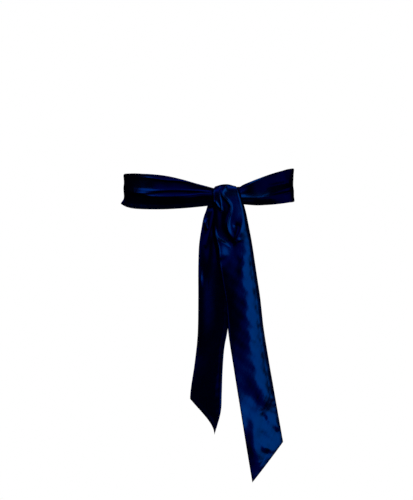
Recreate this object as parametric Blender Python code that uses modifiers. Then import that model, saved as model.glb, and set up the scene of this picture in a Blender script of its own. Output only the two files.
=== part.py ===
"""Satin waist sash, worn and tied once in front, with the two ends hanging over a skirt.

The strip is one long flat tube of satin. It is modelled as the stretches that show: the band
round the waist, the bundle inside the knot, the turn behind the knot, the end that falls
over the knot and the end that comes out below it. Each one is a grid laid on a plain general
figure, a set distance out from it, and then given its thickness.

Row frame: +X to the right as seen from the front, +Y to the back, +Z up. The origin is the
middle of the waist that holds the sash up.
"""

import math

import bmesh
import bpy
from mathutils import Vector

MM = 0.001

# The general figure that the sash is worn on: an oval waist, with the bodice and the skirt
# spreading away from it above and below.
WAIST_HALF_WIDTH = 126 * MM
WAIST_HALF_DEPTH = 96 * MM
WAIST_ROUNDING = 25 * MM
SKIRT_SIDE_SLOPE = 0.36
SKIRT_FRONT_SLOPE = 0.17
BODICE_SIDE_SLOPE = 0.30
BODICE_FRONT_SLOPE = 0.20

# The cloth: two layers of satin with the seam turned in, and the strip's width laid flat.
WALL = 1.2 * MM
STRIP_WIDTH = 55 * MM
SEAM_GAP = 0.35 * MM

# Where the knot sits, in degrees round the waist from the middle of the front.
KNOT_LEFT = 3.2
KNOT_RIGHT = 18.4
KNOT_MIDDLE = 10.8
SEAM_ANGLE = 0.19

# Cells along and across each stretch.
BAND_CELLS = (84, 12)
FALL_CELLS = (64, 18)
UNDER_CELLS = (40, 12)
TURN_CELLS = (14, 8)
BUNDLE_CELLS = (8, 24)

# How far the band's folds reach above and below their crests, in half widths.
UPPER_REACH = 0.92
LOWER_REACH = 0.50
HEM_REACH = 0.22

# The band round the waist, a row for each section. Angles are degrees round the waist,
# growing to the right side, round the back and on to the knot's left. Edges and how far
# things stand out are millimetres. A crest's place runs from -1 at the lower edge to 1 at
# the upper edge, and the shelf is the lower fold's reach above its crest, in half widths.
BAND_COLUMNS = (
    "angle", "upper_edge", "lower_edge", "lift",
    "upper_crest", "upper_out", "lower_crest", "lower_out", "shelf", "hem_out",
)
BAND_ROWS = (
    (KNOT_RIGHT, -7.4, -29.0, 5.8, 1.0, 0.8, -0.10, 2.4, 2.2, -1.2),
    (21.0, -2.6, -29.8, 5.0, 1.0, 3.0, -0.16, 2.6, 2.4, -1.8),
    (25.4, 2.2, -30.6, 3.6, 1.0, 6.4, -0.27, 3.0, 2.6, -2.2),
    (33.5, 9.2, -31.2, 2.0, 1.0, 7.4, -0.40, 3.2, 2.6, -3.6),
    (42.2, 15.2, -30.3, 1.4, 1.0, 6.4, -0.46, 2.6, 2.2, -4.4),
    (53.0, 20.6, -28.6, 1.4, 0.95, 4.6, -0.46, 2.2, 1.4, -3.2),
    (66.0, 25.0, -25.8, 1.4, 0.26, 2.0, -0.36, 3.0, 0.7, -0.2),
    (82.0, 27.2, -22.8, 1.0, 0.08, 2.6, -0.40, 1.8, 0.34, 0.6),
    (105.0, 22.0, -23.0, 1.2, 0.30, 2.5, -0.30, 2.4, 0.34, 0.6),
    (135.0, 9.6, -22.4, 1.4, 0.48, 2.4, -0.18, 3.4, 0.5, 0.2),
    (170.0, 3.4, -22.0, 1.4, 0.40, 3.2, -0.34, 3.4, 0.5, 0.0),
    (205.0, 3.6, -22.4, 1.4, 0.28, 3.4, -0.48, 3.0, 0.5, 0.4),
    (240.0, 9.6, -24.6, 1.4, 0.48, 2.8, -0.12, 3.0, 0.4, 1.2),
    (280.0, 18.8, -27.4, 1.2, 0.66, 1.6, 0.10, 1.8, 0.34, 2.8),
    (293.0, 18.4, -32.2, 1.4, 0.70, 1.0, 0.12, 3.0, 0.4, 1.0),
    (302.0, 17.8, -34.8, 1.4, 0.73, 0.4, 0.00, 3.6, 0.8, 0.0),
    (312.0, 16.4, -36.3, 1.6, 0.75, 0.5, -0.14, 4.2, 1.2, 0.0),
    (321.0, 15.0, -37.0, 1.8, 0.75, 0.7, -0.24, 4.4, 1.4, 0.0),
    (332.0, 12.0, -37.2, 2.2, 0.74, 0.7, -0.26, 4.2, 1.4, 0.0),
    (343.0, 6.4, -36.2, 3.0, 0.72, 0.8, -0.18, 3.8, 1.4, 0.0),
    (352.0, 0.4, -34.6, 4.2, 0.68, 0.8, -0.06, 3.2, 1.4, 0.0),
    (358.0, -3.4, -33.2, 5.4, 0.62, 0.8, 0.04, 2.8, 1.4, 0.0),
    (360 + KNOT_LEFT, -6.8, -32.0, 6.4, 0.55, 0.8, 0.08, 2.4, 1.4, 0.0),
)

# The gathered bundle inside the knot, a row for each section along the waist: an oval in
# height and in depth out from the figure, in millimetres.
BUNDLE_COLUMNS = ("angle", "middle", "half_height", "lift", "half_depth")
BUNDLE_ROWS = (
    (KNOT_LEFT, -20.4, 11.4, 8.0, 4.4),
    (6.6, -19.6, 13.6, 10.0, 6.4),
    (KNOT_MIDDLE, -19.2, 14.4, 11.2, 7.4),
    (15.0, -19.6, 12.8, 10.0, 6.4),
    (KNOT_RIGHT, -20.4, 9.4, 8.0, 4.4),
)
BUNDLE_PLEATS = 9
BUNDLE_PLEAT_DEPTH = 0.35 * MM

# The turn behind the knot: degrees round the bundle, from high behind it, under it, to the
# front of its foot, with half the turn's width and its pleats.
TURN_START = 154
TURN_END = 318
TURN_COLUMNS = ("round", "half_width")
TURN_ROWS = (
    (TURN_START, 14.2),
    (185, 13.2),
    (235, 13.6),
    (275, 14.4),
    (TURN_END, 14.0),
)
TURN_PLEATS = 4
TURN_PLEAT_DEPTH = 0.55 * MM

# The end that falls over the knot, a row for each section down its middle, from behind the
# knot, over its top and down the skirt. The middle's place across and up, how far it
# stands out from the figure, the reach to each edge, how far it leans back towards the right
# and how far each edge falls back from the middle, all in millimetres. The roll is the power
# that a side falls back with: the higher it is, the nearer to the edge it turns.
STRIP_COLUMNS = (
    "across", "up", "lift", "left", "right", "tilt", "left_back", "right_back", "roll",
)
FALL_ROWS = (
    (25.0, -9.6, 2.9, 14.6, 14.6, 0.0, 0.3, 0.3, 2.0),
    (25.0, -5.0, 3.7, 15.0, 15.0, 0.0, 0.8, 0.8, 2.0),
    (25.0, -2.2, 6.8, 15.6, 15.6, 0.0, 2.6, 2.6, 2.0),
    (25.0, -1.5, 11.5, 17.4, 17.0, 0.0, 5.6, 5.6, 2.2),
    (25.0, -3.8, 16.8, 19.0, 18.6, 0.0, 6.6, 6.4, 4.6),
    (25.4, -9.4, 20.6, 20.0, 20.0, 0.0, 7.6, 7.2, 9.0),
    (26.4, -18.5, 22.8, 21.2, 20.8, 0.0, 7.8, 8.2, 9.0),
    (28.6, -32.0, 22.8, 22.4, 22.2, 0.0, 6.4, 8.4, 9.0),
    (31.8, -50.5, 20.4, 24.2, 23.8, 0.0, 3.6, 7.6, 9.0),
    (34.8, -71.0, 17.4, 25.6, 24.8, 0.0, 2.4, 5.6, 8.0),
    (38.6, -91.0, 14.8, 24.8, 24.8, 0.0, 1.4, 4.2, 6.4),
    (41.2, -111.5, 13.0, 26.0, 25.4, 0.0, 0.8, 5.2, 3.8),
    (44.8, -136.0, 12.6, 26.0, 25.4, 0.0, 1.8, 6.6, 2.6),
    (49.8, -169.0, 12.2, 25.4, 25.2, 0.0, 3.0, 6.8, 2.3),
    (54.0, -212.0, 11.0, 26.0, 25.6, 0.0, 1.4, 6.8, 2.2),
    (61.8, -262.0, 9.0, 26.2, 25.6, 1.4, -0.6, 6.8, 2.2),
    (67.0, -294.0, 8.4, 26.4, 25.8, 3.2, 0.0, 5.2, 2.2),
    (69.8, -311.0, 8.4, 26.4, 25.8, 4.0, -1.0, 3.6, 2.0),
    (74.2, -338.0, 8.6, 26.5, 26.1, 4.0, -1.4, 2.8, 2.0),
    (79.6, -371.0, 8.6, 26.6, 26.4, 4.0, 0.4, 2.2, 2.0),
    (87.8, -419.8, 8.2, 26.6, 26.4, 3.2, 1.0, 2.2, 2.0),
)
FALL_TIP_DROP = 45.4 * MM

# The end that comes out from behind the knot's foot and hangs under the other.
UNDER_ROWS = (
    (11.5, -26.0, 1.7, 11.6, 11.6, 0.0, 0.2, 0.4, 2.0),
    (11.4, -30.4, 2.0, 12.2, 12.2, 0.0, 0.2, 0.4, 2.0),
    (11.2, -36.0, 2.9, 13.8, 13.8, 0.0, 0.6, 0.4, 2.0),
    (11.0, -42.0, 4.2, 15.4, 15.4, 0.0, 1.0, 0.4, 2.0),
    (10.5, -50.4, 4.8, 17.8, 17.8, 0.0, 1.6, 0.2, 2.0),
    (9.6, -68.0, 5.4, 20.2, 20.2, 0.0, 2.4, 0.4, 2.0),
    (8.4, -90.0, 5.0, 22.2, 22.2, -0.6, 1.6, -1.0, 1.8),
    (7.8, -114.0, 4.2, 22.6, 22.6, -1.2, 0.8, -1.6, 1.8),
    (7.5, -169.0, 3.4, 22.4, 22.4, -1.8, 0.6, -1.6, 1.8),
    (6.6, -210.0, 3.8, 22.0, 20.8, -1.8, 1.6, -1.2, 1.6),
    (3.8, -233.0, 5.0, 20.6, 19.2, -1.8, 2.0, -1.0, 1.4),
    (0.0, -265.0, 6.8, 20.6, 20.2, -1.8, 0.8, -1.0, 1.4),
    (-3.2, -300.0, 8.2, 22.6, 22.0, -1.8, -0.8, -0.8, 1.4),
    (-3.8, -325.0, 9.2, 23.4, 21.2, -1.6, -0.6, 0.2, 1.4),
    (-4.6, -358.0, 10.2, 23.6, 12.8, -1.2, 0.4, 1.6, 1.4),
)
UNDER_TOP_SLANT = 12.9 * MM
UNDER_TIP_DROP = 50 * MM

# Soft folds lying on a strip: where each starts and ends, in millimetres down from the knot's
# top and across from the strip's middle, how far its line bows, how high it stands and its
# reach to the left and to the right.
FOLD_COLUMNS = (
    "down_start", "across_start", "down_end", "across_end", "bow", "height", "left", "right",
)
FALL_FOLDS = (
    (5, 2, 38, 4, -10.6, 1.6, 3.4, 3.6),
    (38, 4, 85, 3, -10.2, 2.2, 4.0, 5.0),
    (58, 20, 84, 4, 3.0, 2.2, 6.0, 9.0),
    (54, 9, 76, 8, 0.0, 1.0, 9.0, 9.0),
    (74, 28, 92, 4, 3.0, 1.4, 12.0, 16.0),
    (50, -14, 76, -12, -2.0, -1.1, 9.0, 4.4),
    (80, -28.5, 114, -29, 0.0, 4.6, 4.0, 13.0),
    (118, 7, 240, 0, 0.0, 0.5, 8.0, 10.0),
    (298, 0, 320, 28, -1.0, 3.4, 12.0, 20.0),
    (358, -12, 404, -15, -2.0, 2.2, 9.0, 10.0),
)
UNDER_FOLDS = (
    (25, -20, 37, -17.5, 0.0, 2.2, 4.2, 4.0),
    (8, -4, 60, -16, 2.0, 1.1, 4.0, 5.0),
    (50, -6, 98, -7, 0.0, 1.7, 8.0, 13.0),
    (98, -27, 206, -27, 0.0, 4.2, 4.0, 19.0),
    (250, 22, 305, 23, 0.0, 1.1, 5.0, 5.0),
)

NAVY_SATIN = ("navy_polyester_satin", (0.004, 0.010, 0.075, 1.0), 0.34, 0.35)


def clear_scene():
    """Removes what the file opened with."""
    for old in list(bpy.data.objects):
        bpy.data.objects.remove(old, do_unlink=True)


def column_of(rows, columns, name):
    """One named column of a table, top to bottom."""
    place = columns.index(name)
    return [row[place] for row in rows]


def smooth(stations, values, at):
    """The value at a station, on a smooth curve through the table's values."""
    last = len(stations) - 1
    at = min(max(at, stations[0]), stations[last])
    low = max(i for i in range(last) if stations[i] <= at)

    def slope(i):
        sides = [
            (values[j + 1] - values[j]) / (stations[j + 1] - stations[j])
            for j in (i - 1, i)
            if 0 <= j < last
        ]
        return sum(sides) / len(sides)

    step = stations[low + 1] - stations[low]
    t = (at - stations[low]) / step
    return (
        (2 * t**3 - 3 * t**2 + 1) * values[low]
        + (t**3 - 2 * t**2 + t) * step * slope(low)
        + (3 * t**2 - 2 * t**3) * values[low + 1]
        + (t**3 - t**2) * step * slope(low + 1)
    )


def figure_radii(up):
    """The figure's half width and half depth at a height."""
    spread = math.hypot(up, WAIST_ROUNDING) - WAIST_ROUNDING
    if up < 0:
        side, front = SKIRT_SIDE_SLOPE, SKIRT_FRONT_SLOPE
    else:
        side, front = BODICE_SIDE_SLOPE, BODICE_FRONT_SLOPE
    return WAIST_HALF_WIDTH + side * spread, WAIST_HALF_DEPTH + front * spread


def round_figure(angle, up, lift):
    """The point at an angle round the figure and a height, lift out from its surface."""
    half_width, half_depth = figure_radii(up)
    turn = math.radians(angle)
    return Vector(
        (
            (half_width + lift) * math.sin(turn),
            -(half_depth + lift) * math.cos(turn),
            up,
        )
    )


def across_figure(place):
    """The point on the figure's front for a place given as across, up and lift out from it."""
    across, up, lift = place
    half_width, half_depth = figure_radii(up)
    share = across / (half_width + lift)
    return Vector((across, -(half_depth + lift) * math.sqrt(1 - share * share), up))


def swell(distance, reach_low, reach_high):
    """A soft bump, 1 at its crest, with its own reach on each side."""
    reach = reach_high if distance > 0 else reach_low
    return math.exp(-((distance / reach) ** 2))


def band_point(along, across):
    """The band's surface: along from -1 at the knot's right, round the back, to 1 at its left."""
    start, end = BAND_ROWS[0][0] + SEAM_ANGLE, BAND_ROWS[-1][0] - SEAM_ANGLE
    angle = start + (end - start) * (along + 1) / 2
    angles = column_of(BAND_ROWS, BAND_COLUMNS, "angle")
    at = {
        name: smooth(angles, column_of(BAND_ROWS, BAND_COLUMNS, name), angle)
        for name in BAND_COLUMNS[1:]
    }
    middle = (at["upper_edge"] + at["lower_edge"]) / 2
    half = (at["upper_edge"] - at["lower_edge"]) / 2
    out = at["lift"]
    out += at["upper_out"] * swell(across - at["upper_crest"], UPPER_REACH, UPPER_REACH)
    out += at["lower_out"] * swell(across - at["lower_crest"], LOWER_REACH, at["shelf"])
    out += at["hem_out"] * swell(across + 1, HEM_REACH, HEM_REACH)
    return round_figure(angle, (middle + half * across) * MM, out * MM)


def bundle_point(angle, turned, out):
    """A point round the knot's bundle: turned is 0 in front, 90 above and 180 behind it."""
    angles = column_of(BUNDLE_ROWS, BUNDLE_COLUMNS, "angle")
    at = {
        name: smooth(angles, column_of(BUNDLE_ROWS, BUNDLE_COLUMNS, name), angle) * MM
        for name in BUNDLE_COLUMNS[1:]
    }
    turn = math.radians(turned)
    lift = at["lift"] + (at["half_depth"] + out) * math.cos(turn)
    up = at["middle"] + (at["half_height"] + out) * math.sin(turn)
    return round_figure(angle, up, lift)


def turn_point(along, across):
    """The turn behind the knot, made from the bundle's own points moved out."""
    turned = TURN_START + (TURN_END - TURN_START) * (along + 1) / 2
    rounds = column_of(TURN_ROWS, TURN_COLUMNS, "round")
    half = smooth(rounds, column_of(TURN_ROWS, TURN_COLUMNS, "half_width"), turned) * MM
    angle = KNOT_MIDDLE + math.degrees(half * across / WAIST_HALF_WIDTH)
    pleat = TURN_PLEAT_DEPTH * (1 + math.cos(math.pi * TURN_PLEATS * (across + 1)))
    clear = WALL / 2 + SEAM_GAP + BUNDLE_PLEAT_DEPTH
    return bundle_point(angle, turned, clear + pleat)


def strip_stations(rows):
    """The distance down a strip's middle to each row of its table."""
    points = [across_figure(Vector(row[:3]) * MM) for row in rows]
    stations = [0.0]
    for first, second in zip(points, points[1:]):
        stations.append(stations[-1] + (second - first).length)
    return stations


def fold_height(folds, down, across):
    """How high the soft folds of a table stand at a place on the strip, all in metres."""
    height = 0.0
    for fold in folds:
        at = dict(zip(FOLD_COLUMNS, fold))
        start = Vector((at["down_start"], at["across_start"])) * MM
        run = Vector((at["down_end"], at["across_end"])) * MM - start
        here = Vector((down, across)) - start
        share = min(max(here.dot(run) / run.length_squared, 0), 1)
        aside = (run.x * here.y - run.y * here.x) / run.length
        aside -= at["bow"] * MM * 4 * share * (1 - share)
        beyond = (here - run * share).dot(run) / run.length
        reach = (at["left"] + at["right"]) * MM
        height += (
            at["height"]
            * MM
            * swell(aside, at["left"] * MM, at["right"] * MM)
            * swell(beyond, reach, reach)
        )
    return height


class Strip:
    """A stretch of the sash whose middle follows a table of rows."""

    def __init__(self, rows, folds, knot_top, top_slant, tip_drop, tip_side):
        self.rows = rows
        self.folds = folds
        self.stations = strip_stations(rows)
        self.top = self.stations[knot_top]
        self.top_slant = top_slant
        self.tip_drop = tip_drop
        self.tip_side = tip_side

    def value(self, name, down):
        """A named column of the strip's table at a distance down it."""
        return smooth(self.stations, column_of(self.rows, STRIP_COLUMNS, name), down)

    def middle(self, down):
        """The strip's middle at a distance down it, as across, up and lift."""
        return Vector([self.value(name, down) for name in ("across", "up", "lift")]) * MM

    def point(self, along, across):
        """The strip's surface: along from -1 at its top to 1 at its slanted tip."""
        start = self.top_slant * (1 + across) / 2
        end = self.stations[-1] - self.tip_drop * (1 - self.tip_side * across) / 2
        down = start + (end - start) * (along + 1) / 2
        step = 1.0 * MM
        ahead = min(down + step, self.stations[-1])
        tangent = (self.middle(ahead) - self.middle(ahead - 2 * step)).normalized()
        side = (Vector((1, 0, 0)) - tangent * tangent.x).normalized()
        outward = tangent.cross(side)
        left, right = self.value("left", down), self.value("right", down)
        sideways = across * (left + right) / 2 + across**2 * (right - left) / 2
        back = self.value("left_back" if across < 0 else "right_back", down)
        back *= abs(across) ** self.value("roll", down)
        back += self.value("tilt", down) * across
        fold = fold_height(self.folds, down - self.top, across * STRIP_WIDTH / 2)
        place = self.middle(down) + side * sideways * MM + outward * (fold - back * MM)
        return across_figure(place)


def satin():
    """The sash's one material."""
    name, colour, roughness, metallic = NAVY_SATIN
    material = bpy.data.materials.new(name)
    material.use_nodes = True
    shader = material.node_tree.nodes["Principled BSDF"]
    shader.inputs["Base Color"].default_value = colour
    shader.inputs["Roughness"].default_value = roughness
    shader.inputs["Metallic"].default_value = metallic
    return material


def add_object(name, bm, parent, material):
    """A named object from a finished bmesh."""
    mesh = bpy.data.meshes.new(name)
    bm.to_mesh(mesh)
    bm.free()
    mesh.shade_smooth()
    piece = bpy.data.objects.new(name, mesh)
    piece.parent = parent
    piece.data.materials.append(material)
    bpy.data.collections["sash"].objects.link(piece)
    return piece


def cloth(name, cells, point, parent, material):
    """A grid laid where point says and given the cloth's thickness."""
    bm = bmesh.new()
    bmesh.ops.create_grid(bm, x_segments=cells[0], y_segments=cells[1], size=1)
    for vertex in bm.verts:
        vertex.co = point(vertex.co.x, vertex.co.y)
    piece = add_object(name, bm, parent, material)
    wall = piece.modifiers.new("two layers of satin", "SOLIDIFY")
    wall.thickness = WALL
    wall.offset = 0
    return piece


def bundle(name, cells, parent, material):
    """The knot's inside: a ring of points for each section, skinned and closed at both ends."""
    bm = bmesh.new()
    sections, sides = cells
    bmesh.ops.create_cone(
        bm, cap_ends=True, segments=sides, radius1=1, radius2=1, depth=2
    )
    long_edges = [edge for edge in bm.edges if abs(edge.verts[0].co.z - edge.verts[1].co.z) > 1]
    bmesh.ops.subdivide_edges(bm, edges=long_edges, cuts=sections - 1, use_grid_fill=True)
    for vertex in bm.verts:
        turned = math.degrees(math.atan2(vertex.co.y, vertex.co.x))
        angle = KNOT_MIDDLE - vertex.co.z * (KNOT_RIGHT - KNOT_LEFT) / 2
        pleat = BUNDLE_PLEAT_DEPTH * math.cos(BUNDLE_PLEATS * math.radians(turned))
        vertex.co = bundle_point(angle, turned, pleat)
    return add_object(name, bm, parent, material)


def main():
    clear_scene()
    collection = bpy.data.collections.new("sash")
    bpy.context.scene.collection.children.link(collection)
    waist = bpy.data.objects.new("waist", None)
    collection.objects.link(waist)
    material = satin()
    fall = Strip(FALL_ROWS, FALL_FOLDS, 3, 0.0, FALL_TIP_DROP, -1)
    under = Strip(UNDER_ROWS, UNDER_FOLDS, 1, UNDER_TOP_SLANT, UNDER_TIP_DROP, 1)
    cloth("waist_band", BAND_CELLS, band_point, waist, material)
    bundle("knot_bundle", BUNDLE_CELLS, waist, material)
    cloth("knot_turn", TURN_CELLS, turn_point, waist, material)
    cloth("falling_end", FALL_CELLS, fall.point, waist, material)
    cloth("under_end", UNDER_CELLS, under.point, waist, material)


main()
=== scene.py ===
# Satin waist sash, tied once in front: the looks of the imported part.
# The tables give millimetres, and the meshes are in metres, in the frame of the part.
import math

import bpy
import numpy as np
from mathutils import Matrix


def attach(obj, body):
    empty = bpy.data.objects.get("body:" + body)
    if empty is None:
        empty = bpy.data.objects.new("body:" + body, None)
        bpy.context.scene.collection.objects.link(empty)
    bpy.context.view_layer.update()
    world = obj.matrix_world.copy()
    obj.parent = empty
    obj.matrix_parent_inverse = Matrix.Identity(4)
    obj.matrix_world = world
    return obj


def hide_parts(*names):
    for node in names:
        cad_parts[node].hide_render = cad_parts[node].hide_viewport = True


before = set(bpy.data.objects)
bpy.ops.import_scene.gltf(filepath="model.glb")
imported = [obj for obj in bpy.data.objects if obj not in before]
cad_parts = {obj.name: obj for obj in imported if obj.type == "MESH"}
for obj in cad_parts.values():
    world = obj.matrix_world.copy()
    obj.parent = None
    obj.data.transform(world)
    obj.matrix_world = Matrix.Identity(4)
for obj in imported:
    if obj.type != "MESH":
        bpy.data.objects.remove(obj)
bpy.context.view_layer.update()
mm = 0.001
print("frame loaded:", ", ".join(sorted(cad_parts)))

# the general figure that wears the sash: an oval waist that spreads out above and below
figure = {
    "halfWidth": 126.0,
    "halfDepth": 96.0,
    "rounding": 25.0,
    "skirtSide": 0.36,
    "skirtFront": 0.17,
    "bodiceSide": 0.30,
    "bodiceFront": 0.20,
}

# the cloth: a flat tube of satin, so two layers, with its seam turned inside
cloth = {
    "width": 55.0,
    "thickness": 0.8,
    "rimThickness": 0.22,
    "edgeRound": 26,
    "allowance": 6.0,      # the seam's turned-in edges make the tube fuller this far in
    "allowanceThickness": 0.5,
    "allowanceFade": 0.5,
    "pucker": 0.11,
    "puckerSpacing": 11.0,
    "puckerReach": 7.0,
    "puckerWander": 2.0,   # how far the spacing drifts, and over how many millimetres
    "puckerDrift": 17.0,
}

# how folds and unevenness are drawn
relief = {
    "crestSteepness": 1.4,
    "crestBluntness": 0.2,
    "lineSteps": 4,        # straight steps for each row of a fold's line
    "waves": 5,
    "waveTurn": 1.9,       # radians between one wave's direction and the next
    "shortestWave": 0.7,
    "waveGrowth": 0.35,
    "waveShift": 5,
}

# where the knot stands, in degrees from the front, and what the band's two ends leave clear
knot = {"left": 3.2, "right": 18.4, "middle": 10.8, "clear": 0.12}


def smoothValue(stations, values, at):
    # a cubic between each two stations; the slope at a station is the mean of those beside it
    stations, values = np.asarray(stations, float), np.asarray(values, float)
    steps = np.diff(stations)
    runs = np.diff(values) / steps
    slopes = np.concatenate([runs[:1], (runs[1:] + runs[:-1]) / 2, runs[-1:]])
    at = np.clip(at, stations[0], stations[-1])
    low = np.clip(np.searchsorted(stations, at, side="right") - 1, 0, len(steps) - 1)
    t = (at - stations[low]) / steps[low]
    return (
        (2 * t**3 - 3 * t**2 + 1) * values[low]
        + (t**3 - 2 * t**2 + t) * steps[low] * slopes[low]
        + (3 * t**2 - 2 * t**3) * values[low + 1]
        + (t**3 - t**2) * steps[low] * slopes[low + 1]
    )


def readTable(table, at):
    # every later column of a table, on a smooth curve through its rows by the first column
    rows = np.array(table["rows"], float)
    names = table["columns"]
    return {name: smoothValue(rows[:, 0], rows[:, i], at) for i, name in enumerate(names)}


def figureRadii(up):
    # half width and half depth: the waist's own, plus a slope times a hyperbola of the height
    spread = np.hypot(up, figure["rounding"]) - figure["rounding"]
    side = np.where(up < 0, figure["skirtSide"], figure["bodiceSide"])
    front = np.where(up < 0, figure["skirtFront"], figure["bodiceFront"])
    return figure["halfWidth"] + side * spread, figure["halfDepth"] + front * spread


def aroundFigure(angle, up, lift):
    # the oval's point at an angle from the front, moved out by the lift
    halfWidth, halfDepth = figureRadii(up)
    turn = np.radians(angle)
    x = (halfWidth + lift) * np.sin(turn)
    y = -(halfDepth + lift) * np.cos(turn)
    return np.stack([x, y, up], -1) * mm


def acrossFigure(place):
    # the front of the oval at a place across, a height and a lift
    across, up, lift = place[..., 0], place[..., 1], place[..., 2]
    halfWidth, halfDepth = figureRadii(up)
    y = -(halfDepth + lift) * np.sqrt(1 - (across / (halfWidth + lift)) ** 2)
    return np.stack([across, y, up], -1) * mm


def swell(distance, reachLow, reachHigh, crisp=0.0):
    # a bump of height 1: a bell, or towards crisp 1 a narrow crest with hollow sides
    share = distance / np.where(distance > 0, reachHigh, reachLow)
    bell = np.exp(-share**2)
    blunt = relief["crestBluntness"]
    crest = np.exp(-relief["crestSteepness"] * (np.sqrt(share**2 + blunt**2) - blunt))
    return bell * (1 - crisp) + crest * crisp


def foldRelief(folds, x, y):
    # each fold is a smooth line with a height and a reach to each side of it: its relief is the
    # height at the line's nearest place, times a bump of the distance over the reach there
    total = np.zeros(np.broadcast(x, y).shape)
    for fold in folds:
        rows = np.array(fold["rows"], float)
        chords = np.concatenate([[0], np.cumsum(np.hypot(*np.diff(rows[:, :2], axis=0).T))])
        at = np.linspace(0, chords[-1], relief["lineSteps"] * len(rows) + 1)
        lineX, lineY, height, low, high = (smoothValue(chords, rows[:, i], at) for i in range(5))
        best = np.full(total.shape, np.inf)
        value = np.zeros(total.shape)
        for i in range(len(at) - 1):
            runX, runY = lineX[i + 1] - lineX[i], lineY[i + 1] - lineY[i]
            share = ((x - lineX[i]) * runX + (y - lineY[i]) * runY) / (runX**2 + runY**2)
            share = np.clip(share, 0, 1)
            awayX, awayY = x - lineX[i] - share * runX, y - lineY[i] - share * runY
            distance = np.hypot(awayX, awayY)
            side = np.sign(runX * awayY - runY * awayX)
            here = (height[i] + share * (height[i + 1] - height[i])) * swell(
                distance * side,
                low[i] + share * (low[i + 1] - low[i]),
                high[i] + share * (high[i + 1] - high[i]),
                fold.get("crisp", 0.0),
            )
            nearer = distance < best
            best = np.where(nearer, distance, best)
            value = np.where(nearer, here, value)
        total += value
    return total


def buckle(x, y, spacing, seed):
    # the cloth's slight unevenness: the mean of a few long waves in different directions
    wave = np.zeros(np.broadcast(x, y).shape)
    for i in range(relief["waves"]):
        turn = seed + relief["waveTurn"] * i
        pitch = spacing * (relief["shortestWave"] + relief["waveGrowth"] * i)
        forward = x * math.cos(turn) + y * math.sin(turn)
        wave += np.sin(forward * 2 * math.pi / pitch + relief["waveShift"] * turn)
    return wave / relief["waves"]


def surfaceNormals(surface):
    # the cross product of the steps along and across the grid, made one long
    normals = np.cross(np.gradient(surface, axis=0), np.gradient(surface, axis=1))
    return normals / np.linalg.norm(normals, axis=-1, keepdims=True)


def runLengths(surface, axis):
    # the distance along each grid line from its first point
    steps = np.linalg.norm(np.diff(surface, axis=axis), axis=-1)
    start = np.zeros_like(np.take(steps, [0], axis))
    return np.concatenate([start, np.cumsum(steps, axis)], axis)


def addMesh(name, points, quads, values):
    # one object from points and quads, with a UV map in metres of cloth and a seam share
    mesh = bpy.data.meshes.new(name)
    mesh.vertices.add(len(points))
    mesh.vertices.foreach_set("co", points.ravel())
    mesh.loops.add(quads.size)
    mesh.loops.foreach_set("vertex_index", quads.ravel())
    mesh.polygons.add(len(quads))
    mesh.polygons.foreach_set("loop_start", np.arange(0, quads.size, 4))
    mesh.update(calc_edges=True)
    if "uv" in values:
        layer = mesh.uv_layers.new(name="cloth")
        layer.data.foreach_set("uv", values["uv"][quads.ravel()].ravel())
    if "seam" in values:
        share = mesh.attributes.new("seam", "FLOAT", "POINT")
        share.data.foreach_set("value", values["seam"].ravel())
    mesh.shade_smooth()
    piece = bpy.data.objects.new(name, mesh)
    bpy.context.scene.collection.objects.link(piece)
    return piece


def gridQuads(rows, columns):
    # the quads of a grid, turned so that along x across points out
    index = np.arange(rows * columns).reshape(rows, columns)
    corners = [index[:-1, :-1], index[1:, :-1], index[1:, 1:], index[:-1, 1:]]
    return np.stack([c.ravel() for c in corners], -1)


def addSheet(name, surface, thickness, seam):
    # the middle surface moved out and in by half its thickness, and a rim that joins the two
    rows, columns = surface.shape[:2]
    normals = surfaceNormals(surface)
    half = (thickness * mm / 2)[..., None]
    points = np.concatenate([(surface + normals * half).reshape(-1, 3),
                             (surface - normals * half).reshape(-1, 3)])
    front = gridQuads(rows, columns)
    index = np.arange(rows * columns).reshape(rows, columns)
    loop = np.concatenate([index[:-1, 0], index[-1, :-1], index[:0:-1, -1], index[0, :0:-1]])
    after = np.roll(loop, -1)
    rim = np.stack([after, loop, loop + index.size, after + index.size], -1)
    quads = np.concatenate([front, front[:, ::-1] + index.size, rim])
    uv = np.stack([runLengths(surface, 0), runLengths(surface, 1)], -1).reshape(-1, 2)
    values = {"uv": np.tile(uv, (2, 1)), "seam": np.tile(seam.ravel(), 2)}
    return addMesh(name, points, quads, values)


def tubeThickness(fromEdge, fromSeam):
    # two layers, fuller over the turned-in seam, rounding off to the fold at each edge
    inside = np.clip(fromEdge / (cloth["width"] / 2), 0, 1)
    roundOff = np.sqrt(1 - (1 - inside) ** cloth["edgeRound"])
    seam = 1 / (1 + np.exp((fromSeam - cloth["allowance"]) / cloth["allowanceFade"]))
    full = cloth["thickness"] + cloth["allowanceThickness"] * seam
    return cloth["rimThickness"] + (full - cloth["rimThickness"]) * roundOff, seam


def puckers(along, fromSeam):
    # short ripples that the seam's thread draws up, dying away from the seam
    drift = cloth["puckerWander"] * np.sin(along / cloth["puckerDrift"])
    wave = np.sin(2 * math.pi * along / cloth["puckerSpacing"] + drift)
    return cloth["pucker"] * wave * np.exp(-((fromSeam / cloth["puckerReach"]) ** 2))


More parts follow.
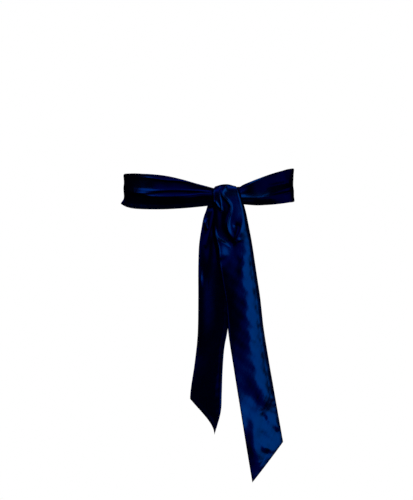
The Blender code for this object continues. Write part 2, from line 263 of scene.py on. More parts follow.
# the band round the waist: its section at each angle, and the creases pulled towards the knot
waistBand = {
    "name": "waistBandSatin",
    "node": "waist_band",
    "flat": (55, 690),     # the flat size that the sheet was cut to: width and length
    "held": "gathered",
    "restsOn": "knotBundleSatin",
    "cells": (480, 96),
    "columns": (
        "angle", "upperEdge", "lowerEdge", "lift",
        "upperCrest", "upperOut", "lowerCrest", "lowerOut", "shelf", "hemOut",
    ),
    "rows": (
        (18.4, -7.4, -29.0, 5.8, 1.00, 0.8, -0.10, 2.4, 2.2, -1.2),
        (21.0, -2.6, -29.8, 5.0, 1.00, 3.0, -0.16, 2.2, 2.4, -1.8),
        (25.4, 2.2, -30.6, 3.6, 1.00, 6.4, -0.27, 2.2, 2.6, -2.2),
        (33.5, 9.2, -31.2, 2.0, 1.00, 7.4, -0.40, 2.7, 2.6, -2.0),
        (42.2, 15.2, -30.3, 1.4, 1.00, 6.4, -0.46, 2.6, 2.2, -1.6),
        (53.0, 20.6, -28.6, 1.4, 0.95, 4.6, -0.46, 2.2, 1.4, -0.8),
        (66.0, 25.0, -25.8, 1.4, 0.26, 2.0, -0.36, 3.0, 0.7, -0.2),
        (82.0, 27.2, -22.8, 1.0, 0.08, 2.6, -0.40, 1.8, 0.34, 0.6),
        (105.0, 22.0, -23.0, 1.2, 0.30, 2.5, -0.30, 2.4, 0.34, 0.6),
        (135.0, 9.6, -22.4, 1.4, 0.48, 2.4, -0.18, 3.4, 0.5, 0.2),
        (170.0, 3.4, -22.0, 1.4, 0.40, 3.2, -0.34, 3.4, 0.5, 0.0),
        (205.0, 3.6, -22.4, 1.4, 0.28, 3.4, -0.48, 3.0, 0.5, 0.4),
        (240.0, 9.6, -24.6, 1.4, 0.48, 2.8, -0.12, 3.0, 0.4, 1.2),
        (280.0, 18.8, -27.4, 1.2, 0.66, 1.6, 0.10, 1.8, 0.34, 2.8),
        (293.0, 18.4, -32.2, 1.4, 0.70, 1.0, 0.12, 3.0, 0.4, 1.0),
        (302.0, 17.8, -34.8, 1.4, 0.73, 0.4, 0.00, 3.6, 0.8, 0.0),
        (312.0, 16.4, -36.3, 1.6, 0.75, 0.5, -0.14, 4.2, 1.2, 0.0),
        (321.0, 15.0, -37.0, 1.8, 0.75, 0.7, -0.24, 4.4, 1.4, 0.0),
        (332.0, 12.0, -37.2, 2.2, 0.74, 0.7, -0.26, 4.2, 1.4, 0.0),
        (343.0, 6.4, -36.2, 3.0, 0.72, 0.8, -0.18, 3.8, 1.4, 0.0),
        (352.0, 0.4, -34.6, 4.2, 0.68, 0.8, -0.06, 3.2, 1.4, 0.0),
        (358.0, -3.4, -33.2, 5.4, 0.62, 0.8, 0.04, 2.8, 1.4, 0.0),
        (363.2, -6.8, -32.0, 6.4, 0.55, 0.8, 0.08, 2.4, 1.4, 0.0),
    ),
    "upperReach": 0.92,
    "lowerReach": 0.50,
    "hemReach": 0.22,
    "gathers": 3,
    "gatherDepth": 0.15,
    "gatherFade": 7.0,
    "perDegree": 2.0,      # about how many millimetres of band a degree is
    "buckleDepth": 0.25,
    "buckleSpacing": 34.0,
    "buckleStretch": 2.2,      # how much longer the unevenness is along the band than across
    "buckleSeed": 0.4,
    "creases": (
        # left of the knot: the lower line, the short bright fold and the two above it
        {"crisp": 0.9, "rows": (
            (624, -14.0, 0.4, 2.0, 2.0), (640, -17.1, 1.2, 2.2, 2.0), (670, -18.4, 1.4, 2.2, 2.0),
            (696, -17.7, 1.4, 2.0, 2.0), (715, -15.2, 1.2, 2.0, 1.8), (725, -15.4, 1.1, 1.8, 1.8))},
        {"crisp": 0.8, "rows": (
            (586, -7.2, 0.8, 3.0, 3.0), (606, -11.0, 2.0, 3.4, 2.8), (626, -12.8, 1.8, 3.2, 2.6),
            (645, -13.2, 0.4, 3.0, 2.4))},
        {"crisp": 0.8, "rows": (
            (604, -7.8, 0.8, 2.6, 3.0), (620, -9.4, 1.3, 3.0, 3.0), (637, -10.2, 1.1, 2.6, 2.4),
            (675, -9.2, 0.9, 2.4, 2.2), (705, -10.8, 0.8, 2.0, 2.0), (722, -12.6, 0.5, 2.0, 2.0))},
        {"crisp": 0.9, "rows": (
            (600, 12.0, 0.2, 2.0, 2.0), (631, 10.4, 0.5, 2.0, 1.8), (661, 6.0, 0.9, 2.0, 1.8),
            (692, 2.7, 0.8, 2.0, 1.8), (716, -5.4, 0.5, 2.0, 1.6))},
        # right of the knot: the line that rises from it, and the three folds above
        {"crisp": 0.9, "rows": (
            (37, -19.6, 0.1, 1.6, 1.3), (56, -20.0, 0.1, 1.8, 1.2), (71, -19.3, 0.2, 1.8, 1.2),
            (84, -17.6, 0.45, 2.0, 1.4), (97, -15.3, 0.6, 2.2, 1.6), (128, -10.5, 0.9, 2.4, 2.0),
            (160, -7.0, 0.5, 2.4, 2.0))},
        {"crisp": 0.8, "rows": (
            (76, -16.6, 0.2, 2.2, 1.8), (86, -14.2, 0.5, 2.2, 1.8), (115, -6.5, 0.8, 2.4, 2.0),
            (150, 0.4, 0.8, 2.6, 2.2))},
        {"crisp": 0.7, "rows": (
            (38, -8.6, 0.4, 2.0, 3.0), (52, 0.0, 0.4, 2.2, 3.0), (66, 6.6, 0.3, 2.2, 3.0))},
        # the hem turning under, right of the knot
        {"rows": (
            (52, -31.2, -0.6, 8.0, 9.0), (68, -31.8, -3.2, 8.0, 9.0), (90, -31.0, -4.4, 8.0, 9.0),
            (110, -29.4, -3.8, 8.0, 9.0), (128, -27.6, -1.2, 8.0, 9.0))},
        {"rows": (
            (84, -3.0, -0.6, 4.0, 3.0), (97, -0.9, -1.0, 4.0, 3.4), (130, 3.8, -1.0, 4.0, 3.4))},
    ),
}


def bandSurface(made):
    # each section is the figure's outline moved out by the lift, the crests and the creases
    cells = made["cells"]
    first, last = knot["right"] + knot["clear"], 360 + knot["left"] - knot["clear"]
    angle = np.linspace(first, last, cells[0] + 1)
    angle, across = np.meshgrid(angle, np.linspace(-1, 1, cells[1] + 1), indexing="ij")
    at = readTable(made, angle)
    middle = (at["upperEdge"] + at["lowerEdge"]) / 2
    half = (at["upperEdge"] - at["lowerEdge"]) / 2
    up = middle + half * across
    reach = made["upperReach"]
    out = at["lift"] + at["upperOut"] * swell(across - at["upperCrest"], reach, reach)
    out += at["lowerOut"] * swell(across - at["lowerCrest"], made["lowerReach"], at["shelf"])
    out += at["hemOut"] * swell(across + 1, made["hemReach"], made["hemReach"])
    toKnot = np.minimum(angle - knot["right"], 360 + knot["left"] - angle)
    fade = np.exp(-((toKnot / made["gatherFade"]) ** 2))
    out += made["gatherDepth"] * fade * np.cos(math.pi * made["gathers"] * (across + 1))
    along = angle * made["perDegree"]
    out += foldRelief(made["creases"], along, up)
    uneven = buckle(along, up * made["buckleStretch"], made["buckleSpacing"], made["buckleSeed"])
    out += made["buckleDepth"] * uneven
    fromEdge = half * (1 - np.abs(across))
    fromSeam = half * (1 + across)
    out += puckers(along, fromSeam)
    return aroundFigure(angle, up, out), fromEdge, fromSeam


# the gathered layers inside the knot: an oval for each section along the waist
knotBundle = {
    "name": "knotBundleSatin",
    "node": "knot_bundle",
    "cells": (48, 144),
    "columns": ("angle", "middle", "halfHeight", "lift", "halfDepth"),
    "rows": (
        (3.2, -20.4, 11.4, 8.0, 4.4),
        (6.6, -19.6, 13.6, 10.0, 6.4),
        (10.8, -19.2, 14.4, 11.2, 7.4),
        (15.0, -19.6, 12.8, 10.0, 6.4),
        (18.4, -20.4, 9.4, 8.0, 4.4),
    ),
    "pleats": 9,
    "pleatDepth": 0.35,
    "pleatWander": 0.6,
    "perDegree": 2.2,      # millimetres along the waist for a degree, and round the bundle
    "girth": 80.0,
}


def bundlePoint(angle, turned, out):
    # the section's oval, moved out: turned is 0 in front, 90 above and 180 behind
    at = readTable(knotBundle, angle)
    turn = np.radians(turned)
    lift = at["lift"] + (at["halfDepth"] + out) * np.cos(turn)
    up = at["middle"] + (at["halfHeight"] + out) * np.sin(turn)
    return aroundFigure(angle, up, lift)


def addBundle(made):
    # rings of points along the waist, skinned, with a fan to a middle point at both ends
    sections, sides = made["cells"]
    angle = np.linspace(knot["left"], knot["right"], sections + 1)
    turned = np.arange(sides) * 360 / sides
    angle, turned = np.meshgrid(angle, turned, indexing="ij")
    wander = made["pleatWander"] * np.sin(angle)
    pleat = made["pleatDepth"] * np.cos(made["pleats"] * np.radians(turned) + wander)
    rings = bundlePoint(angle, turned, pleat)
    middles = rings.mean(1)[[0, -1]]
    points = np.concatenate([rings.reshape(-1, 3), middles])
    index = np.arange(rings.shape[0] * sides).reshape(-1, sides)
    after = np.roll(index, -1, 1)
    corners = [index[:-1], after[:-1], after[1:], index[1:]]
    skin = np.stack([c.ravel() for c in corners], -1)[:, ::-1]
    first, last = index.size, index.size + 1
    ends = []
    for ring, middle, order in ((index[0], first, 1), (index[-1], last, -1)):
        pairs = ring.reshape(-1, 2)
        hub = np.full(len(pairs), middle)
        fan = np.stack([hub, pairs[:, 0], pairs[:, 1], np.roll(pairs[:, 0], -1)], -1)
        ends.append(fan[:, ::order])
    uv = np.stack([angle * made["perDegree"], turned / 360 * made["girth"]], -1).reshape(-1, 2) * mm
    uv = np.concatenate([uv, uv[:2]])
    quads = np.concatenate([skin] + ends)
    return addMesh(made["name"], points, quads, {"uv": uv, "seam": np.zeros(len(points))})


# the turn behind the knot: degrees round the bundle, from high behind it, under it, to its foot
knotTurn = {
    "name": "knotTurnSatin",
    "node": "knot_turn",
    "flat": (55, 38),
    "held": "gathered",
    "restsOn": "knotBundleSatin",
    "cells": (90, 48),
    "columns": ("round", "halfWidth"),
    "rows": ((154, 14.2), (185, 13.2), (235, 13.6), (275, 14.4), (318, 14.0)),
    "pleats": 6,
    "pleatDepth": 1.2,
    "clear": 0.9,
}


def turnSurface(made):
    # the bundle's own points moved out, with pleats along the turn, and its seam out of sight
    cells = made["cells"]
    turned = np.linspace(made["rows"][0][0], made["rows"][-1][0], cells[0] + 1)
    turned, across = np.meshgrid(turned, np.linspace(-1, 1, cells[1] + 1), indexing="ij")
    half = readTable(made, turned)["halfWidth"]
    angle = knot["middle"] + np.degrees(half * across / figure["halfWidth"])
    pleat = made["pleatDepth"] * (1 + np.cos(math.pi * made["pleats"] * (across + 1)))
    fromEdge = half * (1 - np.abs(across))
    return bundlePoint(angle, turned, made["clear"] + pleat), fromEdge, fromEdge + cloth["width"]


# an end's columns: its middle line, its half widths, how far it tilts and falls back at each
# side, and the power by which it does; its unevenness is less at the left and none at the knot
stripColumns = ("across", "up", "lift", "left", "right", "tilt", "leftBack", "rightBack", "roll")
buckling = {"leftShare": 0.5, "sideFade": 3.0, "knotFade": 7.0}

# the end that comes up behind the knot, falls over it and hangs in front
fallingEnd = {
    "name": "fallingEndSatin",
    "node": "falling_end",
    "flat": (55, 445),
    "held": "hung",
    "restsOn": "knotBundleSatin",
    "cells": (560, 84),
    "rows": (
        (25.0, -9.6, 2.9, 14.6, 14.6, 0.0, 0.3, 0.3, 2.0),
        (25.0, -5.0, 3.7, 15.0, 15.0, 0.0, 0.8, 0.8, 2.0),
        (25.0, -2.2, 6.8, 15.6, 15.6, 0.0, 2.6, 2.6, 2.0),
        (25.0, -1.5, 11.5, 17.4, 17.0, 0.0, 5.6, 5.6, 2.2),
        (25.0, -3.8, 16.8, 19.0, 18.6, 0.0, 6.6, 6.4, 4.6),
        (25.4, -9.4, 20.6, 20.0, 20.0, 0.0, 7.6, 7.2, 12.0),
        (26.4, -18.5, 22.8, 21.2, 20.8, 0.0, 7.8, 8.2, 16.0),
        (28.6, -32.0, 22.8, 22.4, 22.2, 0.0, 6.4, 8.4, 16.0),
        (31.8, -50.5, 20.4, 24.2, 23.8, 0.0, 3.6, 7.6, 12.0),
        (34.8, -71.0, 17.4, 25.6, 24.8, 0.0, 2.4, 5.6, 8.0),
        (38.6, -91.0, 14.8, 24.8, 24.8, 0.0, 1.4, 4.2, 6.4),
        (41.2, -111.5, 13.0, 26.0, 25.4, 0.0, 0.8, 5.2, 3.8),
        (44.8, -136.0, 12.6, 26.0, 25.4, 0.0, 1.8, 6.6, 2.6),
        (49.8, -169.0, 12.2, 25.4, 25.2, 0.0, 3.0, 6.8, 2.3),
        (54.0, -212.0, 11.0, 26.0, 25.6, 0.0, 1.4, 6.8, 2.2),
        (61.8, -262.0, 9.0, 26.2, 25.6, 1.4, -0.6, 6.8, 2.2),
        (67.0, -294.0, 8.4, 26.4, 25.8, 2.8, 0.0, 5.2, 2.2),
        (69.8, -311.0, 8.4, 26.4, 25.8, 4.0, -1.0, 3.6, 2.0),
        (74.2, -338.0, 8.6, 26.5, 26.1, 4.0, -1.4, 2.8, 2.0),
        (79.6, -371.0, 8.6, 26.6, 26.4, 4.0, 0.4, 2.2, 2.0),
        (87.8, -419.8, 8.2, 26.6, 26.4, 3.2, 1.0, 2.2, 2.0),
    ),
    "knotTop": 3,
    "topSlant": 0.0,
    "tipDrop": 45.4,
    "tipSide": -1,
    "buckles": ((0.4, 60.0, 1.1), (0.7, 22.0, 2.3), (0.10, 9.0, 0.9)),
    "bucklesFrom": 104.0,
    "creases": (
        # the fold down the knot's middle, and the roll at its right edge, which meet in a pouch
        {"crisp": 0.85, "rows": (
            (5, 2, 0.6, 2.6, 3.0), (11, -2.6, 1.6, 2.6, 3.4), (17.4, -8.6, 1.5, 2.2, 2.6),
            (22, -7.6, 1.3, 2.2, 2.4), (30.4, 0.2, 1.5, 2.2, 2.4), (38, 3.6, 1.5, 2.4, 2.2),
            (45, 1.6, 1.6, 2.6, 2.4), (54.5, -3.8, 2.0, 2.8, 2.8), (64.2, -6.8, 2.3, 3.0, 3.6),
            (73, -6.4, 2.3, 3.4, 4.6), (80.0, -3.6, 1.9, 4.0, 6.0), (85.5, 1.0, 1.7, 5.0, 6.4),
            (88.5, 6.5, 1.4, 6.0, 6.4), (88.5, 11, 0.6, 6.0, 6.0))},
        {"crisp": 0.2, "rows": (
            (56, 21, 0.4, 5.0, 4.0), (66, 18, 1.6, 6.0, 7.5), (73, 13.5, 2.4, 4.0, 9.5),
            (79, 9.0, 2.0, 3.0, 9.0), (84, 5, 1.2, 3.0, 8.0), (88, 2, 0.5, 3.0, 6.0))},
        # the fullness and the hollow between them, and the pouch's own swelling
        {"rows": ((46, 10, 0.4, 8.0, 8.0), (62, 8, 0.8, 9.0, 10.0), (76, 8, 1.2, 9.0, 9.0))},
        {"rows": ((63, 6, -0.4, 3.6, 4.0), (67, 6, -1.1, 3.6, 4.0), (71, 6, -0.4, 3.6, 4.0))},
        {"rows": (
            (74, 28, 0.8, 12.0, 20.0), (86, 17, 1.2, 12.0, 20.0), (92, 6, 1.0, 12.0, 16.0),
            (92, -4, 0.3, 10.0, 14.0))},
        # the hollow left of the pouch, and the fold from the left edge beneath it
        {"rows": (
            (40, -12, -0.6, 8.0, 4.0), (54, -15, -1.1, 10.0, 4.4), (68, -16, -1.1, 10.0, 4.4),
            (80, -10, -0.6, 8.0, 4.4))},
        {"crisp": 0.2, "rows": (
            (70, -28, 1.0, 4.0, 4.0), (80, -28.5, 2.8, 4.0, 6.0), (88, -29, 4.4, 4.0, 12.0),
            (98, -29, 5.0, 4.0, 14.0), (108, -29, 4.6, 4.0, 14.0), (116, -29, 2.4, 4.0, 10.0),
            (124, -29, 0.6, 4.0, 8.0))},
        {"crisp": 0.9, "rows": (
            (46, -27.4, 0.5, 1.8, 1.8), (62, -28, 1.0, 1.8, 1.6), (72, -28, 1.1, 1.8, 1.6),
            (79, -26, 1.0, 1.8, 1.6), (85, -21, 0.9, 3.0, 1.8), (91, -14.6, 0.7, 4.0, 2.2),
            (97, -9, 0.2, 4.0, 2.4))},
        # small folds that the band's pull leaves at the knot's upper left
        {"crisp": 0.85, "rows": (
            (8, -14.4, 0.3, 1.8, 1.8), (22, -13.6, 0.7, 1.8, 1.8), (34, -12.8, 1.2, 1.8, 1.8),
            (42, -13.2, 1.0, 1.8, 1.8))},
        {"crisp": 0.85, "rows": (
            (37.5, -27, 0.9, 2.0, 2.0), (28.2, -23.6, 1.5, 2.0, 2.0), (34.8, -18.6, 1.3, 1.8, 1.8),
            (41.3, -13.4, 1.0, 1.8, 1.8))},
        # the long ridge down the middle, with its bright right side, and the ripples near the slant
        {"crisp": 0.2, "rows": (
            (118, 8, 0.5, 6.0, 8.0), (140, 4, 0.6, 8.0, 10.0), (180, 2, 0.5, 9.0, 11.0),
            (230, 0, 0.4, 9.0, 12.0), (280, -4, 0.3, 10.0, 12.0), (305, -6, 0.2, 10.0, 12.0))},
        {"crisp": 0.9, "rows": (
            (46, -26.2, 0.3, 1.2, 1.2), (58, -26.4, 0.8, 1.2, 1.2), (120, -26.4, 0.6, 1.2, 1.2),
            (210, -26.4, 0.6, 1.2, 1.2), (240, -26.4, 0.1, 1.2, 1.2))},
        {"rows": (
            (272, -20, 0.1, 6.0, 12.0), (288, -8, 0.3, 7.0, 16.0), (304, 5, 2.6, 10.0, 20.0),
            (315, 17, 4.4, 14.0, 20.0), (320, 28, 3.4, 14.0, 20.0))},
        # the dents and swellings near the slanted tip
        {"rows": ((338, 3, -0.5, 5.0, 5.0), (346, 5, -1.3, 5.0, 5.0), (352, 7, -0.4, 5.0, 5.0))},
        {"rows": ((352, 21, 0.6, 5.0, 6.0), (362, 23, 1.4, 5.0, 6.0), (370, 25, 0.5, 5.0, 6.0))},
        {"rows": ((380, -6, 0.5, 5.0, 5.0), (387, -1, 1.3, 5.0, 6.0), (391, 6, 0.5, 5.0, 5.0))},
        {"rows": (
            (344, -14, 0.4, 6.0, 8.0), (358, -12, 1.8, 9.0, 10.0), (372, -15, 2.4, 9.0, 10.0),
            (390, -16, 2.4, 9.0, 10.0), (404, -14, 1.4, 9.0, 9.0))},
    ),
}

# the end that comes out beneath the knot and hangs under the other
underEnd = {
    "name": "underEndSatin",
    "node": "under_end",
    "flat": (55, 333),
    "held": "hung",
    "restsOn": "knotTurnSatin",
    "cells": (380, 80),
    "rows": (
        (11.5, -26.0, 1.7, 11.6, 11.6, 0.0, 0.2, 0.4, 2.0),
        (11.4, -30.4, 2.0, 12.2, 12.2, 0.0, 0.2, 0.4, 2.0),
        (11.2, -36.0, 2.9, 13.8, 13.8, 0.0, 0.6, 0.4, 2.0),
        (11.0, -42.0, 4.2, 15.4, 15.4, 0.0, 1.0, 0.4, 2.0),
        (10.5, -50.4, 4.8, 17.8, 17.8, 0.0, 1.6, 0.2, 2.0),
        (9.6, -68.0, 5.4, 20.2, 20.2, 0.0, 2.4, 0.4, 2.0),
        (8.4, -90.0, 5.0, 22.2, 22.2, -0.6, 1.6, -1.0, 1.8),
        (7.8, -114.0, 4.2, 22.6, 22.6, -1.2, 0.8, -1.6, 1.8),
        (7.5, -169.0, 3.4, 22.4, 22.4, -1.8, 0.6, -1.6, 1.8),
        (6.6, -210.0, 3.8, 22.0, 20.8, -1.8, 1.6, -1.2, 1.6),
        (3.8, -233.0, 5.0, 20.6, 19.2, -1.8, 2.0, -1.0, 1.4),
        (0.0, -265.0, 6.8, 20.6, 20.2, -1.8, 0.8, -1.0, 1.4),
        (-3.2, -300.0, 8.2, 22.6, 22.0, -1.8, -0.8, -0.8, 1.4),
        (-3.8, -325.0, 9.2, 23.4, 21.2, -1.6, -0.6, 0.2, 1.4),
        (-4.6, -358.0, 10.2, 23.6, 12.8, -1.2, 0.4, 1.6, 1.4),
    ),
    "knotTop": 1,
    "topSlant": 12.9,
    "tipDrop": 50.0,
    "tipSide": 1,
    "buckles": ((0.3, 60.0, 2.7), (0.1, 15.0, 0.7)),
    "bucklesFrom": 20.0,
    "creases": (
        # the small bright fold at the upper left, the knot's pulls, and the long left side
        {"rows": (
            (22, -20, 0.4, 4.2, 4.0), (27, -19.5, 2.4, 4.2, 4.0), (34, -18, 2.7, 4.2, 4.0),
            (40, -17, 0.6, 4.2, 4.0))},
        {"rows": ((8, -4, 1.0, 4.0, 5.0), (34, -8, 1.2, 4.0, 5.0), (60, -16, 0.8, 4.0, 5.0))},
        {"rows": (
            (46, -6, 0.6, 8.0, 10.0), (62, -6, 1.9, 8.0, 13.0), (84, -6, 1.5, 8.0, 13.0),
            (104, -8, 0.5, 8.0, 12.0))},
        {"rows": (
            (92, -26, 2.4, 4.0, 18.0), (130, -27, 4.8, 4.0, 20.0), (185, -27, 4.4, 4.0, 18.0),
            (212, -27, 1.4, 4.0, 12.0))},
        {"rows": ((96, -23, 0.4, 3.0, 3.0), (108, -24, 1.4, 3.0, 3.6), (120, -23, 0.4, 3.0, 3.0))},
        {"rows": ((250, 22, 0.4, 5.0, 5.0), (275, 22, 1.2, 5.0, 5.0), (305, 23, 1.0, 5.0, 5.0))},
    ),
}


def stripSurface(made):
    # a middle line in the figure's own across, up and lift, with the cloth laid square to it:
    # each side falls back by a power of the way to its edge, and the creases stand on that
    rows = np.array(made["rows"], float)
    middlePoints = acrossFigure(rows[:, :3]) / mm
    chords = np.linalg.norm(np.diff(middlePoints, axis=0), axis=1)
    stations = np.concatenate([[0], np.cumsum(chords)])
    cells = made["cells"]
    along, across = np.linspace(0, 1, cells[0] + 1), np.linspace(-1, 1, cells[1] + 1)
    along, across = np.meshgrid(along, across, indexing="ij")
    start = made["topSlant"] * (1 + across) / 2
    end = stations[-1] - made["tipDrop"] * (1 - made["tipSide"] * across) / 2
    down = start + (end - start) * along
    columns = {n: smoothValue(stations, rows[:, i], down) for i, n in enumerate(stripColumns)}
    middle = np.stack([columns[n] for n in stripColumns[:3]], -1)
    ahead = np.minimum(down + 1, stations[-1])     # the tangent is a step of 2 mm down the line
    steps = [
        smoothValue(stations, rows[:, i], ahead) - smoothValue(stations, rows[:, i], ahead - 2)
        for i in range(3)
    ]
    tangent = np.stack(steps, -1)
    tangent /= np.linalg.norm(tangent, axis=-1, keepdims=True)
    side = np.array([1.0, 0, 0]) - tangent * tangent[..., :1]
    side /= np.linalg.norm(side, axis=-1, keepdims=True)
    outward = np.cross(tangent, side)
    left, right = columns["left"], columns["right"]
    leftBack, rightBack = columns["leftBack"], columns["rightBack"]
    sideways = across * (left + right) / 2 + across**2 * (right - left) / 2
    back = np.where(across < 0, leftBack, rightBack) * np.abs(across) ** columns["roll"]
    back += columns["tilt"] * across
    fromTop = down - stations[made["knotTop"]]
    flat = across * cloth["width"] / 2
    fromEdge = (left + right) / 2 * (1 - np.abs(across))
    slant = math.cos(math.atan2(made["tipDrop"], cloth["width"]))
    fromSeam = np.minimum((end - down) * slant, (left + right) / 2 * (1 - across))
    out = foldRelief(made["creases"], fromTop, flat)
    # unevenness only below the knot, and half as much on the left half
    leftShare = buckling["leftShare"]
    uneven = leftShare + (1 - leftShare) / (1 + np.exp(-flat / buckling["sideFade"]))
    uneven /= 1 + np.exp((made["bucklesFrom"] - fromTop) / buckling["knotFade"])
    for depth, spacing, seed in made["buckles"]:
        out += depth * uneven * buckle(fromTop, flat, spacing, seed)
    out += puckers(fromTop, fromSeam)
    place = middle + side * sideways[..., None] + outward * (out - back)[..., None]
    return acrossFigure(place), np.minimum(fromEdge, (end - down) * slant), fromSeam


def linear(hexColour):
    # an sRGB hex colour as linear red, green, blue and alpha
    parts = [int(hexColour[i:i + 2], 16) / 255 for i in (1, 3, 5)]
    return [c / 12.92 if c <= 0.04045 else ((c + 0.055) / 1.055) ** 2.4 for c in parts] + [1.0]


def addNode(tree, kind, settings=None, links=None):
    # one node with its settings, and what comes into its sockets
    node = tree.nodes.new(kind)
    for key, value in (settings or {}).items():
        if isinstance(key, str) and hasattr(node, key):
            setattr(node, key, value)
        else:
            node.inputs[key].default_value = value
    for key, source in (links or {}).items():
        tree.links.new(source, node.inputs[key])
    return node


# polyester satin: filament yarn in a warp-faced satin weave, calendered smooth; long floats lie
# side by side, so it mirrors lights softly in its own navy and goes nearly black away from them
satinLook = {
    "deep": "#001C5A",
    "navy": "#00449A",
    "metallic": 1.0,
    "roughness": 0.24,
    "roughnessSpread": 0.03,
    "seamRoughness": 0.05,     # a little more over the seam's turned-in edges
    "anisotropic": 0.2,
    "anisotropicTurn": 0.25,
    "edgeTint": "#0C3A8C",
    "floatSpacing": 0.45,      # real floats are 0.1 mm apart, drawn coarser so that they show
    "floatLength": 9.0,
    "floatRelief": 0.02,
    "floatDetail": 2.0,
    "floatStrength": 0.5,
    "mottleSize": 14.0,
    "mottleDetail": 3.0,
    "mottleTone": (0.55, 1.0),     # the share of navy over deep, from the mottle and the floats
    "floatTone": (0.86, 1.1),
}


def navyPolyesterSatin(look):
    # its colour goes from deep to navy by the mottle times the floats' streaks, its roughness by
    # the mottle and the seam, and the floats raise it and stretch its lights across them
    material = bpy.data.materials.new("navyPolyesterSatin")
    material.use_nodes = True
    tree = material.node_tree
    shader = tree.nodes["Principled BSDF"]
    uv = addNode(tree, "ShaderNodeUVMap", {"uv_map": "cloth"})
    perMetre = 1 / (look["floatSpacing"] * mm)
    floatMap = addNode(
        tree, "ShaderNodeMapping",
        {"Scale": (1 / (look["floatLength"] * mm), perMetre, 1)}, {"Vector": uv.outputs["UV"]},
    )
    floats = addNode(
        tree, "ShaderNodeTexNoise", {"Scale": 1.0, "Detail": look["floatDetail"]},
        {"Vector": floatMap.outputs["Vector"]},
    )
    mottle = addNode(
        tree, "ShaderNodeTexNoise",
        {"Scale": 1 / (look["mottleSize"] * mm), "Detail": look["mottleDetail"]},
        {"Vector": uv.outputs["UV"]},
    )
    seam = addNode(tree, "ShaderNodeAttribute", {"attribute_name": "seam"})
    tone = addNode(
        tree, "ShaderNodeMapRange",
        {"To Min": look["mottleTone"][0], "To Max": look["mottleTone"][1]},
        {"Value": mottle.outputs["Fac"]},
    )
    streak = addNode(
        tree, "ShaderNodeMapRange",
        {"To Min": look["floatTone"][0], "To Max": look["floatTone"][1]},
        {"Value": floats.outputs["Fac"]},
    )
    share = addNode(
        tree, "ShaderNodeMath", {"operation": "MULTIPLY"},
        {0: tone.outputs["Result"], 1: streak.outputs["Result"]},
    )
    colour = addNode(tree, "ShaderNodeMix", {"data_type": "RGBA"}, {0: share.outputs[0]})
    colour.inputs[6].default_value = linear(look["deep"])     # 6 and 7 are its two colours
    colour.inputs[7].default_value = linear(look["navy"])
    tree.links.new(colour.outputs[2], shader.inputs["Base Color"])
    middle, spread = look["roughness"], look["roughnessSpread"]
    rough = addNode(
        tree, "ShaderNodeMapRange", {"To Min": middle - spread, "To Max": middle + spread},
        {"Value": mottle.outputs["Fac"]},
    )
    roughSeam = addNode(
        tree, "ShaderNodeMath", {"operation": "MULTIPLY_ADD", 1: look["seamRoughness"]},
        {0: seam.outputs["Fac"], 2: rough.outputs["Result"]},
    )
    tree.links.new(roughSeam.outputs[0], shader.inputs["Roughness"])
    bump = addNode(
        tree, "ShaderNodeBump",
        {"Strength": look["floatStrength"], "Distance": look["floatRelief"] * mm},
        {"Height": floats.outputs["Fac"]},
    )
    tree.links.new(bump.outputs["Normal"], shader.inputs["Normal"])
    tangent = addNode(tree, "ShaderNodeTangent", {"direction_type": "UV_MAP", "uv_map": "cloth"})
    tree.links.new(tangent.outputs["Tangent"], shader.inputs["Tangent"])
    shader.inputs["Metallic"].default_value = look["metallic"]
    shader.inputs["Anisotropic"].default_value = look["anisotropic"]
    shader.inputs["Anisotropic Rotation"].default_value = look["anisotropicTurn"]
    shader.inputs["Specular Tint"].default_value = linear(look["edgeTint"])
    return material


satin = navyPolyesterSatin(satinLook)
print("satin ready")


def finishPiece(piece, made):
    # every piece rides on the one body, stands for its node and takes the satin
    piece.data.materials.append(satin)
    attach(piece, "root")
    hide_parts(made["node"])
    print(piece.name, "made:", len(piece.data.polygons), "faces")


finished = []
for made, makeSurface in (
    (waistBand, bandSurface),
    (fallingEnd, stripSurface),
    (underEnd, stripSurface),
    (knotTurn, turnSurface),
):
    surface, fromEdge, fromSeam = makeSurface(made)
    thickness, seam = tubeThickness(fromEdge, fromSeam)
    finished.append((addSheet(made["name"], surface, thickness, seam), made))
finished.append((addBundle(knotBundle), knotBundle))
for piece, made in finished:
    finishPiece(piece, made)


# the studio: a pale floor far below, a pale surround, and soft boxes at angles in degrees from
# the front, with their distances and sizes in metres
studio = {
    "pale": "#FFFFFF",
    "surround": "#04060F",      # what the satin mirrors where there is no soft box
    "floorDrop": -1.5,
    "floorReach": 9.0,
    "floorRoughness": 0.9,
    "aim": (0.0, -0.1, -0.1),
    "columns": ("name", "azimuth", "elevation", "distance", "wide", "tall", "glow", "tint"),
    "boxes": (
        ("keyBox", 53, 19, 2.0, 1.1, 1.5, 0.58, "#FFFFFF"),
        ("leftBox", -88, 36, 1.8, 0.8, 0.8, 0.6, "#C8DCFF"),
        ("rightBox", 120, -1, 1.8, 1.0, 0.5, 0.1, "#4048FF"),
        ("topBox", 90, 70, 1.6, 1.2, 0.5, 0.45, "#C0D0FF"),
        ("topPanel", 0, 78, 2.0, 1.6, 1.6, 0.1, "#4048FF"),
        ("frontPanel", 30, 4, 2.6, 1.3, 2.2, 0.11, "#3038FF"),
        ("lowPanel", 88, -14, 2.4, 1.8, 0.8, 0.075, "#3038FF"),
        ("leftPanel", -48, 28, 2.4, 1.8, 1.2, 0.1, "#3038FF"),
        ("highLeft", -35, 55, 1.8, 1.8, 0.5, 0.3, "#9090FF"),
        ("backBox", 188, 24, 2.0, 1.4, 0.9, 0.7, "#FFFFFF"),
        ("backLow", 180, -20, 1.8, 2.4, 0.9, 0.3, "#8090FF"),
        ("floorBounce", 0, -58, 1.2, 0.8, 1.2, 0.1, "#4060FF"),
    ),
}


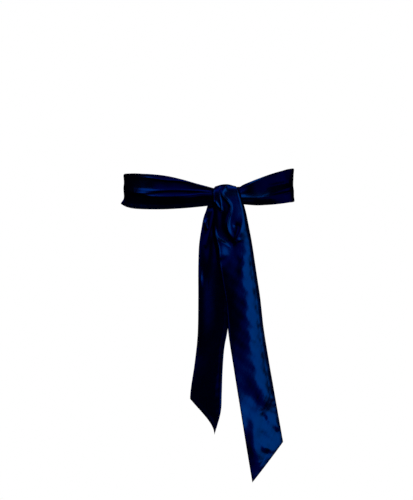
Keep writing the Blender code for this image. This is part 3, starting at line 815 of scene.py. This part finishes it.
def addStudio(made):
    # the eye sees the pale surround and floor, while the satin mirrors the dim ones and the boxes
    world = bpy.data.worlds.new("studioSurround")
    bpy.context.scene.world = world
    world.use_nodes = True
    tree = world.node_tree
    dim = tree.nodes["Background"]
    dim.inputs["Color"].default_value = linear(made["surround"])
    pale = addNode(tree, "ShaderNodeBackground", {"Color": linear(made["pale"])})
    path = addNode(tree, "ShaderNodeLightPath")
    mix = addNode(
        tree, "ShaderNodeMixShader", None,
        {0: path.outputs["Is Camera Ray"], 1: dim.outputs[0], 2: pale.outputs[0]},
    )
    tree.links.new(mix.outputs[0], tree.nodes["World Output"].inputs["Surface"])

    reach = made["floorReach"]
    spots = np.linspace(-reach, reach, 3)
    x, y = np.meshgrid(spots, spots, indexing="ij")
    points = np.stack([x, y, np.full_like(x, made["floorDrop"])], -1).reshape(-1, 3)
    floor = addMesh("studioFloor", points, gridQuads(3, 3), {})
    # matt white paint: an even pale ground to the eye, and dim where the satin mirrors it
    paint = bpy.data.materials.new("paleMattFloor")
    paint.use_nodes = True
    tree = paint.node_tree
    matt = tree.nodes["Principled BSDF"]
    matt.inputs["Base Color"].default_value = linear(made["surround"])
    matt.inputs["Roughness"].default_value = made["floorRoughness"]
    glow = addNode(tree, "ShaderNodeEmission", {"Color": linear(made["pale"])})
    path = addNode(tree, "ShaderNodeLightPath")
    mix = addNode(
        tree, "ShaderNodeMixShader", None,
        {0: path.outputs["Is Camera Ray"], 1: matt.outputs[0], 2: glow.outputs[0]},
    )
    tree.links.new(mix.outputs[0], tree.nodes["Material Output"].inputs["Surface"])
    floor.data.materials.append(paint)

    for row in made["boxes"]:
        box = dict(zip(made["columns"], row))
        light = bpy.data.lights.new(box["name"], "AREA")
        light.shape = "RECTANGLE"
        light.size = box["wide"]
        light.size_y = box["tall"]
        light.energy = box["glow"] * math.pi * light.size * light.size_y
        light.color = linear(box["tint"])[:3]
        lamp = bpy.data.objects.new(box["name"], light)
        turn, rise = math.radians(box["azimuth"]), math.radians(box["elevation"])
        level = math.cos(rise)
        away = np.array([math.sin(turn) * level, -math.cos(turn) * level, math.sin(rise)])
        lamp.location = np.array(made["aim"]) + away * box["distance"]
        lamp.rotation_euler = (math.pi / 2 - rise, 0, turn)
        bpy.context.scene.collection.objects.link(lamp)


addStudio(studio)
print("studio ready")

# the camera is level with the hanging ends' middle, straight in front, as in the photograph
view = {"at": (-0.003, -2.0, -0.097), "lens": 93.6, "sensor": 36.0}
eye = bpy.data.cameras.new("frontView")
eye.lens = view["lens"]
eye.sensor_width = view["sensor"]
camera = bpy.data.objects.new("frontView", eye)
camera.location = view["at"]
camera.rotation_euler = (math.pi / 2, 0, 0)
bpy.context.scene.collection.objects.link(camera)
bpy.context.scene.camera = camera
bpy.context.scene.view_settings.view_transform = "Standard"
